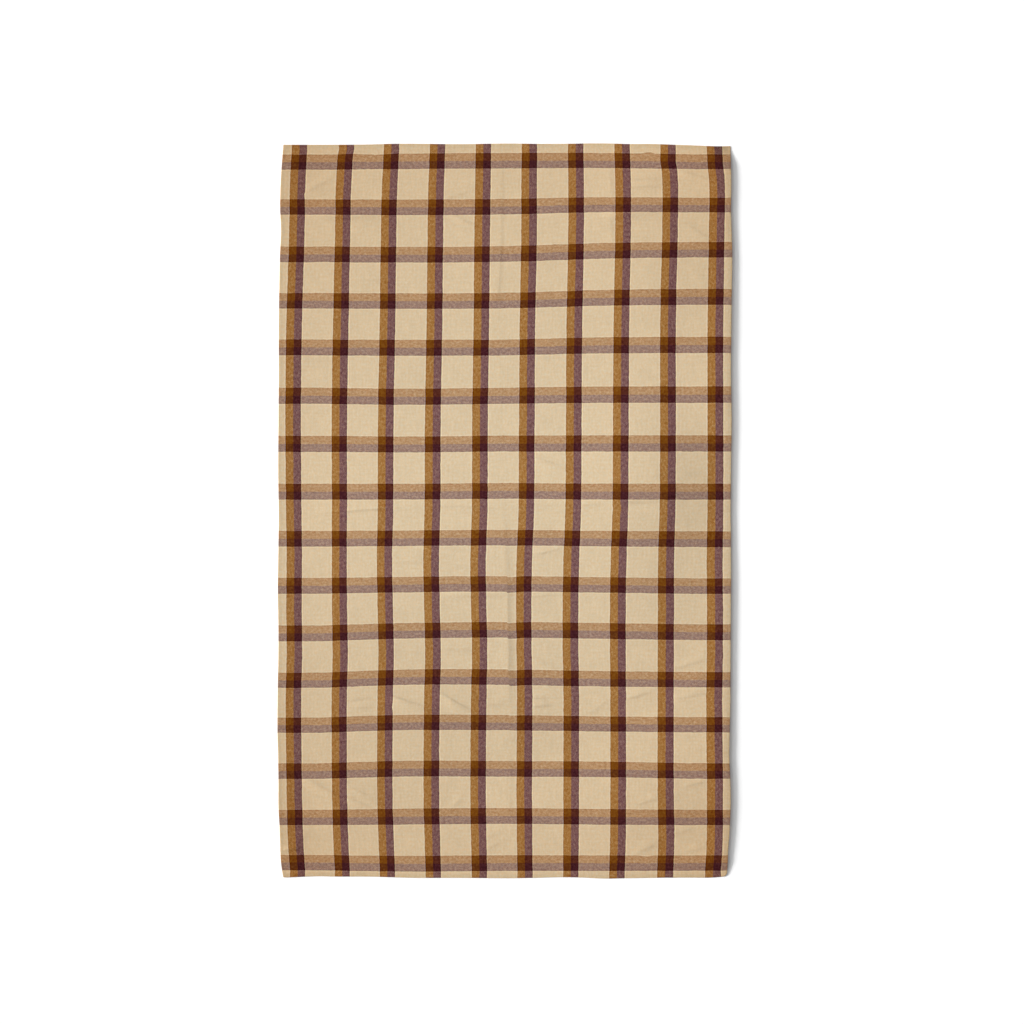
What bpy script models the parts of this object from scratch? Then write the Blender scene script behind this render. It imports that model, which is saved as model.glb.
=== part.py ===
"""A woven tablecloth with a narrow hem, spread out face up on a flat surface.

+X runs across the cloth, +Y up its length and +Z out of its face. The origin lies under the middle
of the cloth, on the surface that it rests on. Lengths are in metres, or in millimetres in the
columns that end in _mm.
"""

import math
from collections import namedtuple

import bmesh
import bpy
from mathutils import Vector
from mathutils.geometry import delaunay_2d_cdt

MM = 0.001

# The cut cloth and its hem, which is turned under twice
WIDTH = 1.400
LENGTH = 2.270
CLOTH_THICKNESS = 0.0012
HEM_THICKNESS = 0.0020
HEM_WIDTH = 0.012
HEM_STEP = 0.0015
HEM_SAG_WIDTH = 0.070
WORN_CORNER_RADIUS = 0.011

# How finely the form is drawn
OUTLINE_SPACING = 0.045
ARC_STEPS = 6
FOLD_SPACING = 0.055
CREASE_STEPS = 6
SWELL_STEPS = 12
SWELL_RINGS = (0.33, 0.67, 1.0)
HEM_SAG_LINES = (0.33, 0.67, 1.0)
RIGHT_LIFT_LINES = (0.35, 0.65, 0.85, 1.0)
FOLD_END_INSET = 0.030
MERGE_DISTANCE = 0.0001

# How the long edges lie at heights up the cloth: each edge's shift to the right of its cut line
Side = namedtuple("Side", "along left_mm right_mm")
SIDES = (
    Side(-1.135, 12, -15),
    Side(-1.124, 10, -14),
    Side(-1.100, 6, -12),
    Side(-1.060, 3, -11),
    Side(-0.990, 1, -6),
    Side(-0.910, -3, -3),
    Side(-0.840, -3, -4),
    Side(-0.760, -4, -7),
    Side(-0.690, -5, -6),
    Side(-0.600, -5, -4),
    Side(-0.400, -3, -3),
    Side(-0.240, -5, -2),
    Side(-0.100, -3, -2),
    Side(-0.010, -2, -3),
    Side(0.130, -4, -2),
    Side(0.280, -3, 0),
    Side(0.430, -2, -2),
    Side(0.570, -2, -1),
    Side(0.720, 0, 2),
    Side(0.800, 2, 3),
    Side(0.870, 5, 0),
    Side(0.940, 2, -2),
    Side(1.020, 4, -1),
    Side(1.110, 10, -3),
    Side(1.135, 12, -3),
)

# How far the long edges stand off the surface
SideLift = namedtuple("SideLift", "along left_mm right_mm")
SIDE_LIFTS = (
    SideLift(-1.135, 0.0, 0.0),
    SideLift(-1.124, 0.0, 0.0),
    SideLift(-1.100, 0.1, 2.6),
    SideLift(-1.080, 0.3, 4.0),
    SideLift(-1.000, 1.1, 5.0),
    SideLift(-0.740, 0.8, 5.5),
    SideLift(-0.580, 0.6, 5.0),
    SideLift(-0.300, 0.3, 5.5),
    SideLift(0.000, 0.5, 5.0),
    SideLift(0.280, 0.3, 5.5),
    SideLift(0.580, 0.3, 5.5),
    SideLift(0.880, 0.3, 5.0),
    SideLift(1.030, 0.6, 5.0),
    SideLift(1.110, 0.0, 4.0),
    SideLift(1.135, 0.0, 4.0),
)
EDGE_LIFT_WIDTH = 0.136
RIGHT_LIFT_WIDTH = 0.560

# The tip of the upper right corner bends back down to the surface
TIP_DROP_MM = 4.0
TIP_REACH = 0.060

# How the two ends lie across the cloth: each end's shift up the cloth from its cut line, and its
# lift off the surface
End = namedtuple("End", "across bottom_mm top_mm bottom_lift_mm top_lift_mm")
ENDS = (
    End(-0.700, 1, 0, 0.0, 0.0),
    End(-0.650, 3, 0, 0.0, 0.0),
    End(-0.590, 5, 0, 0.4, 0.4),
    End(-0.430, 4, 1, 0.4, 0.6),
    End(-0.360, 2, 3, 0.5, 0.5),
    End(-0.280, 0, 3, 0.6, 0.4),
    End(-0.150, 0, 2, 0.5, 0.4),
    End(0.000, -1, 4, 0.4, 0.5),
    End(0.165, 2, 3, 0.6, 0.4),
    End(0.310, -2, 4, 0.4, 0.3),
    End(0.450, 0, 2, 0.5, 0.0),
    End(0.570, 1, -2, 0.4, 0.0),
    End(0.650, 1, -5, 0.0, 0.0),
    End(0.700, 5, -4, 0.0, 0.0),
)

# The two folds it was pressed in, which run its whole length and width. The crest is sharp. The
# cloth comes down over the steep width on one side, and over a wide gentle flank on the other.
Fold = namedtuple("Fold", "place crest_mm lift_mm steep_mm")
LENGTHWISE_FOLD = (
    Fold(-1.105, 12, 0.00, 22),
    Fold(-1.020, 12, 0.05, 22),
    Fold(-0.880, 11, 0.28, 24),
    Fold(-0.730, 12, 0.18, 20),
    Fold(-0.606, 14, 0.22, 18),
    Fold(-0.575, 12, 0.45, 24),
    Fold(-0.460, 9, 1.45, 28),
    Fold(-0.430, 10, 1.10, 25),
    Fold(-0.315, 6, 0.85, 23),
    Fold(-0.284, 6, 0.90, 23),
    Fold(-0.176, 4, 0.52, 22),
    Fold(-0.139, 1, 0.52, 22),
    Fold(-0.010, -5, 0.20, 16),
    Fold(0.137, -18, 0.07, 12),
    Fold(0.283, -20, 0.12, 11),
    Fold(0.431, -17, 0.18, 16),
    Fold(0.578, -24, 0.15, 12),
    Fold(0.725, -19, 0.42, 14),
    Fold(0.871, -13, 0.26, 11),
    Fold(1.017, -11, 0.24, 12),
    Fold(1.105, -8, 0.10, 12),
)
LENGTHWISE_GENTLE = 0.180
CROSSWISE_FOLD = (
    Fold(-0.660, -5, 0.00, 9),
    Fold(-0.590, -3, 0.40, 10),
    Fold(-0.553, -3, 0.70, 10),
    Fold(-0.466, 4, 1.60, 9),
    Fold(-0.417, 7, 1.75, 9),
    Fold(-0.324, 11, 0.50, 9),
    Fold(-0.273, 13, 0.75, 8),
    Fold(-0.175, 17, 0.90, 9),
    Fold(-0.122, 16, 1.20, 9),
    Fold(-0.031, 12, 0.80, 10),
    Fold(0.019, 11, 0.40, 9),
    Fold(0.113, 20, 0.75, 9),
    Fold(0.163, 21, 0.75, 8),
    Fold(0.260, 22, 0.85, 8),
    Fold(0.311, 26, 0.50, 8),
    Fold(0.400, 34, 0.60, 9),
    Fold(0.470, 35, 0.40, 9),
    Fold(0.560, 36, 0.00, 9),
)
CROSSWISE_GENTLE = 0.040

# The larger creases: the middle of the crest, its length, its turn from +X towards +Y and its
# height, and how far the cloth comes down on its upper side and on its lower side
Crease = namedtuple("Crease", "across along run turn lift_mm upper_mm lower_mm")
CREASES = (
    Crease(0.579, 1.040, 0.160, -15, 1.40, 8, 20),
    Crease(-0.490, 0.920, 0.320, 0, 1.30, 30, 20),
    Crease(-0.125, 0.898, 0.130, -26, 0.70, 7, 20),
    Crease(0.370, 0.915, 0.240, 2, 1.00, 25, 16),
    Crease(-0.429, 0.716, 0.150, 0, 0.90, 25, 7),
    Crease(0.137, 0.148, 0.150, -18, 1.60, 8, 25),
    Crease(-0.100, -0.262, 0.280, 0, 1.20, 25, 10),
    Crease(-0.160, -0.425, 0.200, 0, 1.20, 25, 12),
    Crease(-0.300, -0.592, 0.190, -16, 2.00, 8, 30),
    Crease(-0.155, -0.594, 0.180, -30, 1.30, 9, 30),
    Crease(0.423, -0.571, 0.160, 14, 1.00, 30, 9),
    Crease(-0.573, -0.854, 0.140, -22, 0.90, 9, 25),
    Crease(-0.440, -0.877, 0.160, -24, 0.70, 9, 25),
    Crease(0.441, -0.902, 0.130, 12, 0.70, 25, 8),
    Crease(0.576, -0.851, 0.160, 20, 0.65, 25, 8),
)
# The highest place of a crease's crest, from its left end at -1 to its right end at 1
CREST_TOP = -0.15

# Broad, low swells: the middle, the reach to the left and to the right, the size along, and the lift
Swell = namedtuple("Swell", "across along left right long lift_mm")
SWELLS = (
    Swell(0.340, -0.030, 0.920, 0.340, 1.160, 7.5),
    Swell(0.370, 0.740, 0.730, 0.310, 0.760, 4.2),
    Swell(-0.400, -0.020, 0.270, 0.560, 1.120, 3.0),
    Swell(0.330, -0.920, 0.520, 0.350, 0.420, 5.6),
    Swell(0.500, 0.100, 0.600, 0.180, 0.500, 2.5),
    Swell(-0.220, -0.595, 0.260, 0.260, 0.210, 0.8),
    Swell(-0.480, -0.910, 0.150, 0.150, 0.260, 0.8),
)

PALE_YARN = (0.668, 0.518, 0.331, 1.0)
YARN_ROUGHNESS = 0.92


def clear_scene():
    for old in list(bpy.data.objects):
        bpy.data.objects.remove(old, do_unlink=True)


def table_at(rows, place):
    """A table's later columns at a place between its rows, on a smooth curve through the rows."""
    place = min(max(place, rows[0][0]), rows[-1][0])
    high = next(i for i in range(1, len(rows)) if place <= rows[i][0])
    low = high - 1
    before = max(low - 1, 0)
    after = min(high + 1, len(rows) - 1)
    span = rows[high][0] - rows[low][0]
    t = (place - rows[low][0]) / span
    values = []
    for column in range(1, len(rows[0])):
        start = rows[low][column]
        end = rows[high][column]
        slope_in = (end - rows[before][column]) / (rows[high][0] - rows[before][0]) * span
        slope_out = (rows[after][column] - start) / (rows[after][0] - rows[low][0]) * span
        values.append(
            start * (1 + 2 * t) * (1 - t) ** 2
            + slope_in * t * (1 - t) ** 2
            + end * t * t * (3 - 2 * t)
            - slope_out * t * t * (1 - t)
        )
    return values


def lay(u, v):
    """Where a point of the flat cut cloth lies once the cloth is spread out."""
    left, right = table_at(SIDES, v)
    bottom, top, _, _ = table_at(ENDS, u)
    from_left = u / WIDTH + 0.5
    from_bottom = v / LENGTH + 0.5
    x = u + MM * (left + (right - left) * from_left)
    y = v + MM * (bottom + (top - bottom) * from_bottom)
    return x, y


def eased(share):
    """A bump's height at a share of its reach: 1 in the middle and 0 from its rim on."""
    return (1 - share * share) ** 2 if abs(share) < 1 else 0.0


def creased(share):
    """The height of a pressed crease at a share of its reach: sharp at its crest."""
    return (1 - share) ** 2 if share < 1 else 0.0


def sagging(share):
    """The height of cloth that sags from a held edge at a share of its reach: level at both ends."""
    return (1 - share) ** 2 * (1 + 2 * share) if share < 1 else 0.0


def lengthwise_height(x, y):
    crest_mm, lift_mm, steep_mm = table_at(LENGTHWISE_FOLD, y)
    away = x - crest_mm * MM
    reach = steep_mm * MM if away > 0 else LENGTHWISE_GENTLE
    return max(lift_mm, 0.0) * creased(abs(away) / reach)


def crosswise_height(x, y):
    crest_mm, lift_mm, steep_mm = table_at(CROSSWISE_FOLD, x)
    away = y - crest_mm * MM
    reach = CROSSWISE_GENTLE if away > 0 else steep_mm * MM
    return max(lift_mm, 0.0) * creased(abs(away) / reach)


def crease_height(crease, x, y):
    """The height of a crease, whose outline narrows to a point at each end."""
    turn = math.radians(crease.turn)
    dx = x - crease.across
    dy = y - crease.along
    run = (dx * math.cos(turn) + dy * math.sin(turn)) * 2 / crease.run
    if abs(run) >= 1:
        return 0.0
    off = dy * math.cos(turn) - dx * math.sin(turn)
    reach_mm = crease.upper_mm if off > 0 else crease.lower_mm
    from_top = run - CREST_TOP
    along = from_top / (1 + CREST_TOP if from_top < 0 else 1 - CREST_TOP)
    return crease.lift_mm * eased(along) * eased(off / (reach_mm * MM * (1 - run * run)))


def swell_height(swell, x, y):
    reach = swell.left if x < swell.across else swell.right
    share = math.hypot((x - swell.across) / reach, (y - swell.along) * 2 / swell.long)
    return swell.lift_mm * eased(share)


def edge_height(x, y):
    """How far the edges lift the cloth near them."""
    left, right = table_at(SIDES, y)
    left_lift, right_lift = table_at(SIDE_LIFTS, y)
    bottom, top, bottom_lift, top_lift = table_at(ENDS, x)
    from_left = max(x + WIDTH / 2 - left * MM, 0.0)
    from_right = max(WIDTH / 2 + right * MM - x, 0.0)
    from_bottom = max(y + LENGTH / 2 - bottom * MM, 0.0)
    from_top = max(LENGTH / 2 + top * MM - y, 0.0)
    height = max(left_lift, 0.0) * creased(from_left / EDGE_LIFT_WIDTH)
    height += max(right_lift, 0.0) * sagging(from_right / RIGHT_LIFT_WIDTH)
    height += max(bottom_lift, 0.0) * creased(from_bottom / EDGE_LIFT_WIDTH)
    height += max(top_lift, 0.0) * creased(from_top / EDGE_LIFT_WIDTH)
    return height - TIP_DROP_MM * eased(math.hypot(from_right, from_top) / TIP_REACH)


def hem_height(x, y):
    """How far the hem, turned under, holds up the single cloth beside it."""
    left, right = table_at(SIDES, y)
    bottom, top, _, _ = table_at(ENDS, x)
    inset = min(
        x + WIDTH / 2 - left * MM,
        WIDTH / 2 + right * MM - x,
        y + LENGTH / 2 - bottom * MM,
        LENGTH / 2 + top * MM - y,
    )
    share = max(inset - HEM_WIDTH, 0.0) / HEM_SAG_WIDTH
    return (HEM_THICKNESS - CLOTH_THICKNESS) * sagging(share)


def underside(x, y):
    """The height of the cloth's underside above the surface it lies on."""
    height = edge_height(x, y) + lengthwise_height(x, y) + crosswise_height(x, y)
    height += sum(crease_height(crease, x, y) for crease in CREASES)
    height += sum(swell_height(swell, x, y) for swell in SWELLS)
    return max(height, 0.0) * MM


def corner(x, y, radius, start_degrees):
    """A rounded corner's points, anticlockwise; the corner is at x, y before it is rounded."""
    if radius <= 0:
        return [(x, y)]
    points = []
    middle = math.radians(start_degrees + 45)
    centre_x = x - math.copysign(radius, math.cos(middle))
    centre_y = y - math.copysign(radius, math.sin(middle))
    for step in range(ARC_STEPS + 1):
        angle = math.radians(start_degrees + 90 * step / ARC_STEPS)
        points.append((centre_x + radius * math.cos(angle), centre_y + radius * math.sin(angle)))
    return points


def ring(inset):
    """The laid points of a loop that runs a distance inside the cut edge, anticlockwise."""
    right = WIDTH / 2 - inset
    top = LENGTH / 2 - inset
    corners = (
        corner(-right, -top, 0.0, 180),
        corner(right, -top, WORN_CORNER_RADIUS - inset, 270),
        corner(right, top, 0.0, 0),
        corner(-right, top, 0.0, 90),
    )
    points = []
    for this, following in zip(corners, corners[1:] + corners[:1]):
        points.extend(this)
        start = Vector(this[-1])
        side = Vector(following[0]) - start
        steps = round(side.length / OUTLINE_SPACING)
        for step in range(1, steps):
            points.append(tuple(start + side * step / steps))
    return [lay(u, v) for u, v in points]


def right_lift_lines():
    """The lines up the right side that its wide lift bends along."""
    steps = round(LENGTH / FOLD_SPACING / 2)
    limit = LENGTH / 2 - FOLD_END_INSET
    lines = []
    for share in RIGHT_LIFT_LINES:
        line = []
        for step in range(steps + 1):
            place = -limit + 2 * limit * step / steps
            _, right = table_at(SIDES, place)
            line.append((WIDTH / 2 + right * MM - share * RIGHT_LIFT_WIDTH, place))
        lines.append(line)
    return lines


def fold_lines(rows, side, gentle, limit, turned):
    """The lines along a long fold: its crest, and the foot and the middle of its steep flank, on the
    side given by a sign, and of its gentle flank, on the other."""
    steps = round(2 * limit / FOLD_SPACING)
    places = [-limit + 2 * limit * step / steps for step in range(steps + 1)]
    lines = []
    for steep_share, gentle_share in ((1, 0), (1 / 3, 0), (0, 0), (0, 1 / 3), (0, 1)):
        line = []
        for place in places:
            crest_mm, _, steep_mm = table_at(rows, place)
            away = side * (steep_share * steep_mm * MM - gentle_share * gentle)
            offset = crest_mm * MM + away
            line.append((place, offset) if turned else (offset, place))
        lines.append(line)
    return lines


def crease_lines(crease):
    """The lines along a crease, which meet at its two ends."""
    turn = math.radians(crease.turn)
    lines = []
    for reach_mm in (
        -crease.lower_mm, -crease.lower_mm / 2, 0, crease.upper_mm / 2, crease.upper_mm
    ):
        line = []
        for step in range(CREASE_STEPS + 1):
            share = 2 * step / CREASE_STEPS - 1
            run = share * crease.run / 2
            off = reach_mm * MM * (1 - share * share)
            x = crease.across + run * math.cos(turn) - off * math.sin(turn)
            y = crease.along + run * math.sin(turn) + off * math.cos(turn)
            line.append((x, y))
        lines.append(line)
    return lines


def swell_lines(swell):
    """Closed ovals round a swell."""
    lines = []
    for share in SWELL_RINGS:
        line = []
        for step in range(SWELL_STEPS + 1):
            angle = 2 * math.pi * step / SWELL_STEPS
            reach = swell.right if math.cos(angle) > 0 else swell.left
            x = swell.across + share * reach * math.cos(angle)
            y = swell.along + share * swell.long / 2 * math.sin(angle)
            line.append((x, y))
        lines.append(line)
    return lines


def loop_lines(insets):
    """Closed loops that run round the cloth, each a distance inside the cut edge."""
    loops = [ring(inset) for inset in insets]
    return [loop + loop[:1] for loop in loops]


def inner_lines():
    """Every line inside the hem that the cloth's surface bends along."""
    past_hem = [HEM_WIDTH + share * HEM_SAG_WIDTH for share in HEM_SAG_LINES]
    lines = loop_lines([HEM_WIDTH + HEM_STEP, EDGE_LIFT_WIDTH] + past_hem)
    lines += right_lift_lines()
    lengthwise_limit = LENGTH / 2 - FOLD_END_INSET
    crosswise_limit = WIDTH / 2 - FOLD_END_INSET
    lines += fold_lines(LENGTHWISE_FOLD, 1, LENGTHWISE_GENTLE, lengthwise_limit, False)
    lines += fold_lines(CROSSWISE_FOLD, -1, CROSSWISE_GENTLE, crosswise_limit, True)
    for crease in CREASES:
        lines += crease_lines(crease)
    for swell in SWELLS:
        lines += swell_lines(swell)
    return lines


def flat_triangles():
    """The cloth seen from above: points, triangles with an edge on every line, and which points
    are on the two loops that bound the hem.

    A triangle between three points of the rim lies outside it, where the rim bends inwards.
    """
    hem_loops = loop_lines((0.0, HEM_WIDTH))
    rim_count = len(hem_loops[0])
    hem_count = sum(len(loop) for loop in hem_loops)
    points = []
    edges = []
    for line in hem_loops + inner_lines():
        first = len(points)
        points += [Vector(point) for point in line]
        edges += [(first + i, first + i + 1) for i in range(len(line) - 1)]
    inside_lines = 1
    made = delaunay_2d_cdt(points, edges, [], inside_lines, MERGE_DISTANCE, True)
    laid_points, _, triangles, sources = made[:4]
    in_hem = [any(source < hem_count for source in found) for found in sources]
    on_rim = [any(source < rim_count for source in found) for found in sources]
    inside = [triangle for triangle in triangles if not all(on_rim[index] for index in triangle)]
    return laid_points, inside, in_hem


def cloth_mesh():
    points, triangles, in_hem = flat_triangles()
    shape = bmesh.new()
    thickness = shape.verts.layers.float.new("thickness")
    for point, hemmed in zip(points, in_hem):
        low = underside(point.x, point.y) + (0.0 if hemmed else hem_height(point.x, point.y))
        vert = shape.verts.new((point.x, point.y, low))
        vert[thickness] = HEM_THICKNESS if hemmed else CLOTH_THICKNESS
    shape.verts.ensure_lookup_table()
    for triangle in triangles:
        shape.faces.new([shape.verts[index] for index in triangle])
    made = bmesh.ops.extrude_face_region(shape, geom=shape.faces[:], use_keep_orig=True)
    for item in made["geom"]:
        if isinstance(item, bmesh.types.BMVert):
            item.co.z += item[thickness]
    bmesh.ops.recalc_face_normals(shape, faces=shape.faces[:])
    shape.verts.layers.float.remove(shape.verts.layers.float["thickness"])
    mesh = bpy.data.meshes.new("cloth")
    shape.to_mesh(mesh)
    shape.free()
    mesh.shade_smooth()
    mesh.set_sharp_from_angle(angle=math.radians(40))
    return mesh


def woven_material():
    material = bpy.data.materials.new("woven_check")
    material.use_nodes = True
    shader = material.node_tree.nodes["Principled BSDF"]
    shader.inputs["Base Color"].default_value = PALE_YARN
    shader.inputs["Roughness"].default_value = YARN_ROUGHNESS
    shader.inputs["Metallic"].default_value = 0.0
    return material


def make_cloth():
    mesh = cloth_mesh()
    mesh.materials.append(woven_material())
    cloth = bpy.data.objects.new("cloth", mesh)
    bpy.context.scene.collection.objects.link(cloth)
    return cloth


clear_scene()
make_cloth()
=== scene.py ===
"""The looks of a woven tablecloth with a two-colour windowpane check and a narrow hem, spread out.

The cloth is one closed sheet of fine triangles, lying on the same folds as the plain solid that it
stands for, with the small creases added. Its check is dyed yarn: the sheet carries the coordinates
of the woven cloth as a UV map, in metres, and the bands bend where the cloth was pulled about.
+X runs across the cloth, +Y up its length and +Z out of its face. Lengths are in metres, or in
millimetres in the columns and constants whose names end in _mm or _MM.
"""

import math
from collections import namedtuple

import bpy
import numpy as np
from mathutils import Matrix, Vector, noise
from mathutils.geometry import delaunay_2d_cdt


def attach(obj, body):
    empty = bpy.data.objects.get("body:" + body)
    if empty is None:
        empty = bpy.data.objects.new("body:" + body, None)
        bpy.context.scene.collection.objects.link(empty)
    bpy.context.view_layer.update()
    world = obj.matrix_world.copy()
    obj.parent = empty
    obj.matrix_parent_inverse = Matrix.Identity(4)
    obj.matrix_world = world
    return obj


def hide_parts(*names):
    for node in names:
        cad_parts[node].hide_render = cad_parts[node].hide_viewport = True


MM = 0.001

# The cut cloth and its hem, as wide and long as in the solid and as thin as woven cotton is
WIDTH = 1.400
LENGTH = 2.270
CLOTH_THICKNESS = 0.0005
HEM_THICKNESS = 0.0010
HEM_WIDTH = 0.012
HEM_STEP = 0.0015
HEM_SAG_WIDTH = 0.070
WORN_CORNER_RADIUS = 0.011
TURNED_CORNER_RADIUS = 0.003

# How the long edges lie at heights up the cloth: each edge's shift to the right of its cut line
Side = namedtuple("Side", "along left_mm right_mm")
SIDES = (
    Side(-1.135, 12, -15),
    Side(-1.124, 10, -14),
    Side(-1.100, 6, -12),
    Side(-1.060, 3, -11),
    Side(-0.990, 1, -6),
    Side(-0.910, -3, -3),
    Side(-0.840, -3, -4),
    Side(-0.760, -4, -7),
    Side(-0.690, -6, -6),
    Side(-0.600, -6, -4),
    Side(-0.400, -3, -3),
    Side(-0.240, -5, -2),
    Side(-0.100, -3, -2),
    Side(-0.010, -2, -3),
    Side(0.130, -4, -2),
    Side(0.280, -3, 0),
    Side(0.430, -2, -2),
    Side(0.570, -2, -1),
    Side(0.720, 0, 1),
    Side(0.800, 2, 2),
    Side(0.870, 5, 0),
    Side(0.940, 2, -2),
    Side(1.020, 4, -1),
    Side(1.110, 10, -3),
    Side(1.135, 12, -3),
)

# How far the long edges stand off the surface
SideLift = namedtuple("SideLift", "along left_mm right_mm")
SIDE_LIFTS = (
    SideLift(-1.135, 0.0, 0.0),
    SideLift(-1.100, 0.1, 3.0),
    SideLift(-1.080, 0.3, 4.6),
    SideLift(-1.000, 1.1, 5.8),
    SideLift(-0.740, 0.8, 6.3),
    SideLift(-0.580, 0.6, 5.8),
    SideLift(-0.300, 0.3, 6.3),
    SideLift(0.000, 0.5, 5.8),
    SideLift(0.280, 0.3, 6.3),
    SideLift(0.580, 0.3, 6.3),
    SideLift(0.880, 0.3, 5.8),
    SideLift(1.030, 0.5, 5.8),
    SideLift(1.135, 0.0, 4.8),
)
LEFT_LIFT_WIDTH = 0.136
RIGHT_LIFT_WIDTH = 0.560

# The lifted right edge droops by a share of its lift
RIGHT_DROOP = 0.12
RIGHT_DROOP_WIDTH = 0.035

# The tip of the upper right corner bends back down to the surface
TIP_DROP_MM = 4.8
TIP_REACH = 0.060

# How the two ends lie across the cloth: each end's shift up the cloth from its cut line
End = namedtuple("End", "across bottom_mm top_mm")
ENDS = (
    End(-0.700, 1, 0),
    End(-0.650, 3, 0),
    End(-0.590, 5, 0),
    End(-0.540, 4, 0),
    End(-0.430, 4, 1),
    End(-0.360, 2, 3),
    End(-0.280, 0, 3),
    End(-0.150, 0, 2),
    End(0.000, -1, 4),
    End(0.090, 0, 3),
    End(0.165, 2, 3),
    End(0.240, 1, 4),
    End(0.310, -2, 4),
    End(0.390, -1, 2),
    End(0.450, 0, 2),
    End(0.570, 1, -2),
    End(0.650, 1, -5),
    End(0.700, 5, -4),
)

# The two folds it was pressed in, which run its whole length and width. The crest is sharp. The
# cloth comes down over the steep width on one side, and over a wide gentle flank on the other.
Fold = namedtuple("Fold", "place crest_mm lift_mm steep_mm")
LENGTHWISE_FOLD = (
    Fold(-1.105, 12, 0.00, 22),
    Fold(-1.020, 12, 0.05, 22),
    Fold(-0.880, 11, 0.28, 24),
    Fold(-0.730, 12, 0.18, 20),
    Fold(-0.606, 14, 0.22, 18),
    Fold(-0.575, 12, 0.45, 24),
    Fold(-0.460, 9, 1.45, 28),
    Fold(-0.430, 10, 1.10, 25),
    Fold(-0.315, 6, 0.85, 23),
    Fold(-0.284, 6, 0.90, 23),
    Fold(-0.176, 4, 0.52, 22),
    Fold(-0.139, 1, 0.52, 22),
    Fold(-0.010, -5, 0.20, 16),
    Fold(0.137, -18, 0.07, 12),
    Fold(0.283, -20, 0.15, 11),
    Fold(0.431, -17, 0.21, 16),
    Fold(0.578, -24, 0.19, 12),
    Fold(0.725, -19, 0.50, 14),
    Fold(0.871, -13, 0.32, 11),
    Fold(1.017, -11, 0.29, 12),
    Fold(1.105, -8, 0.10, 12),
)
LENGTHWISE_GENTLE = 0.180
CROSSWISE_FOLD = (
    Fold(-0.660, -5, 0.00, 9),
    Fold(-0.590, -3, 0.40, 10),
    Fold(-0.553, -3, 0.70, 10),
    Fold(-0.466, 4, 1.60, 9),
    Fold(-0.417, 7, 1.75, 9),
    Fold(-0.324, 11, 0.50, 9),
    Fold(-0.273, 13, 0.75, 8),
    Fold(-0.175, 17, 0.90, 9),
    Fold(-0.122, 16, 1.20, 9),
    Fold(-0.031, 12, 0.80, 10),
    Fold(0.019, 11, 0.40, 9),
    Fold(0.113, 20, 0.75, 9),
    Fold(0.163, 21, 0.75, 8),
    Fold(0.260, 22, 0.85, 8),
    Fold(0.311, 26, 0.50, 8),
    Fold(0.400, 34, 0.60, 9),
    Fold(0.470, 35, 0.40, 9),
    Fold(0.560, 36, 0.00, 9),
)
CROSSWISE_GENTLE = 0.040

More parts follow.
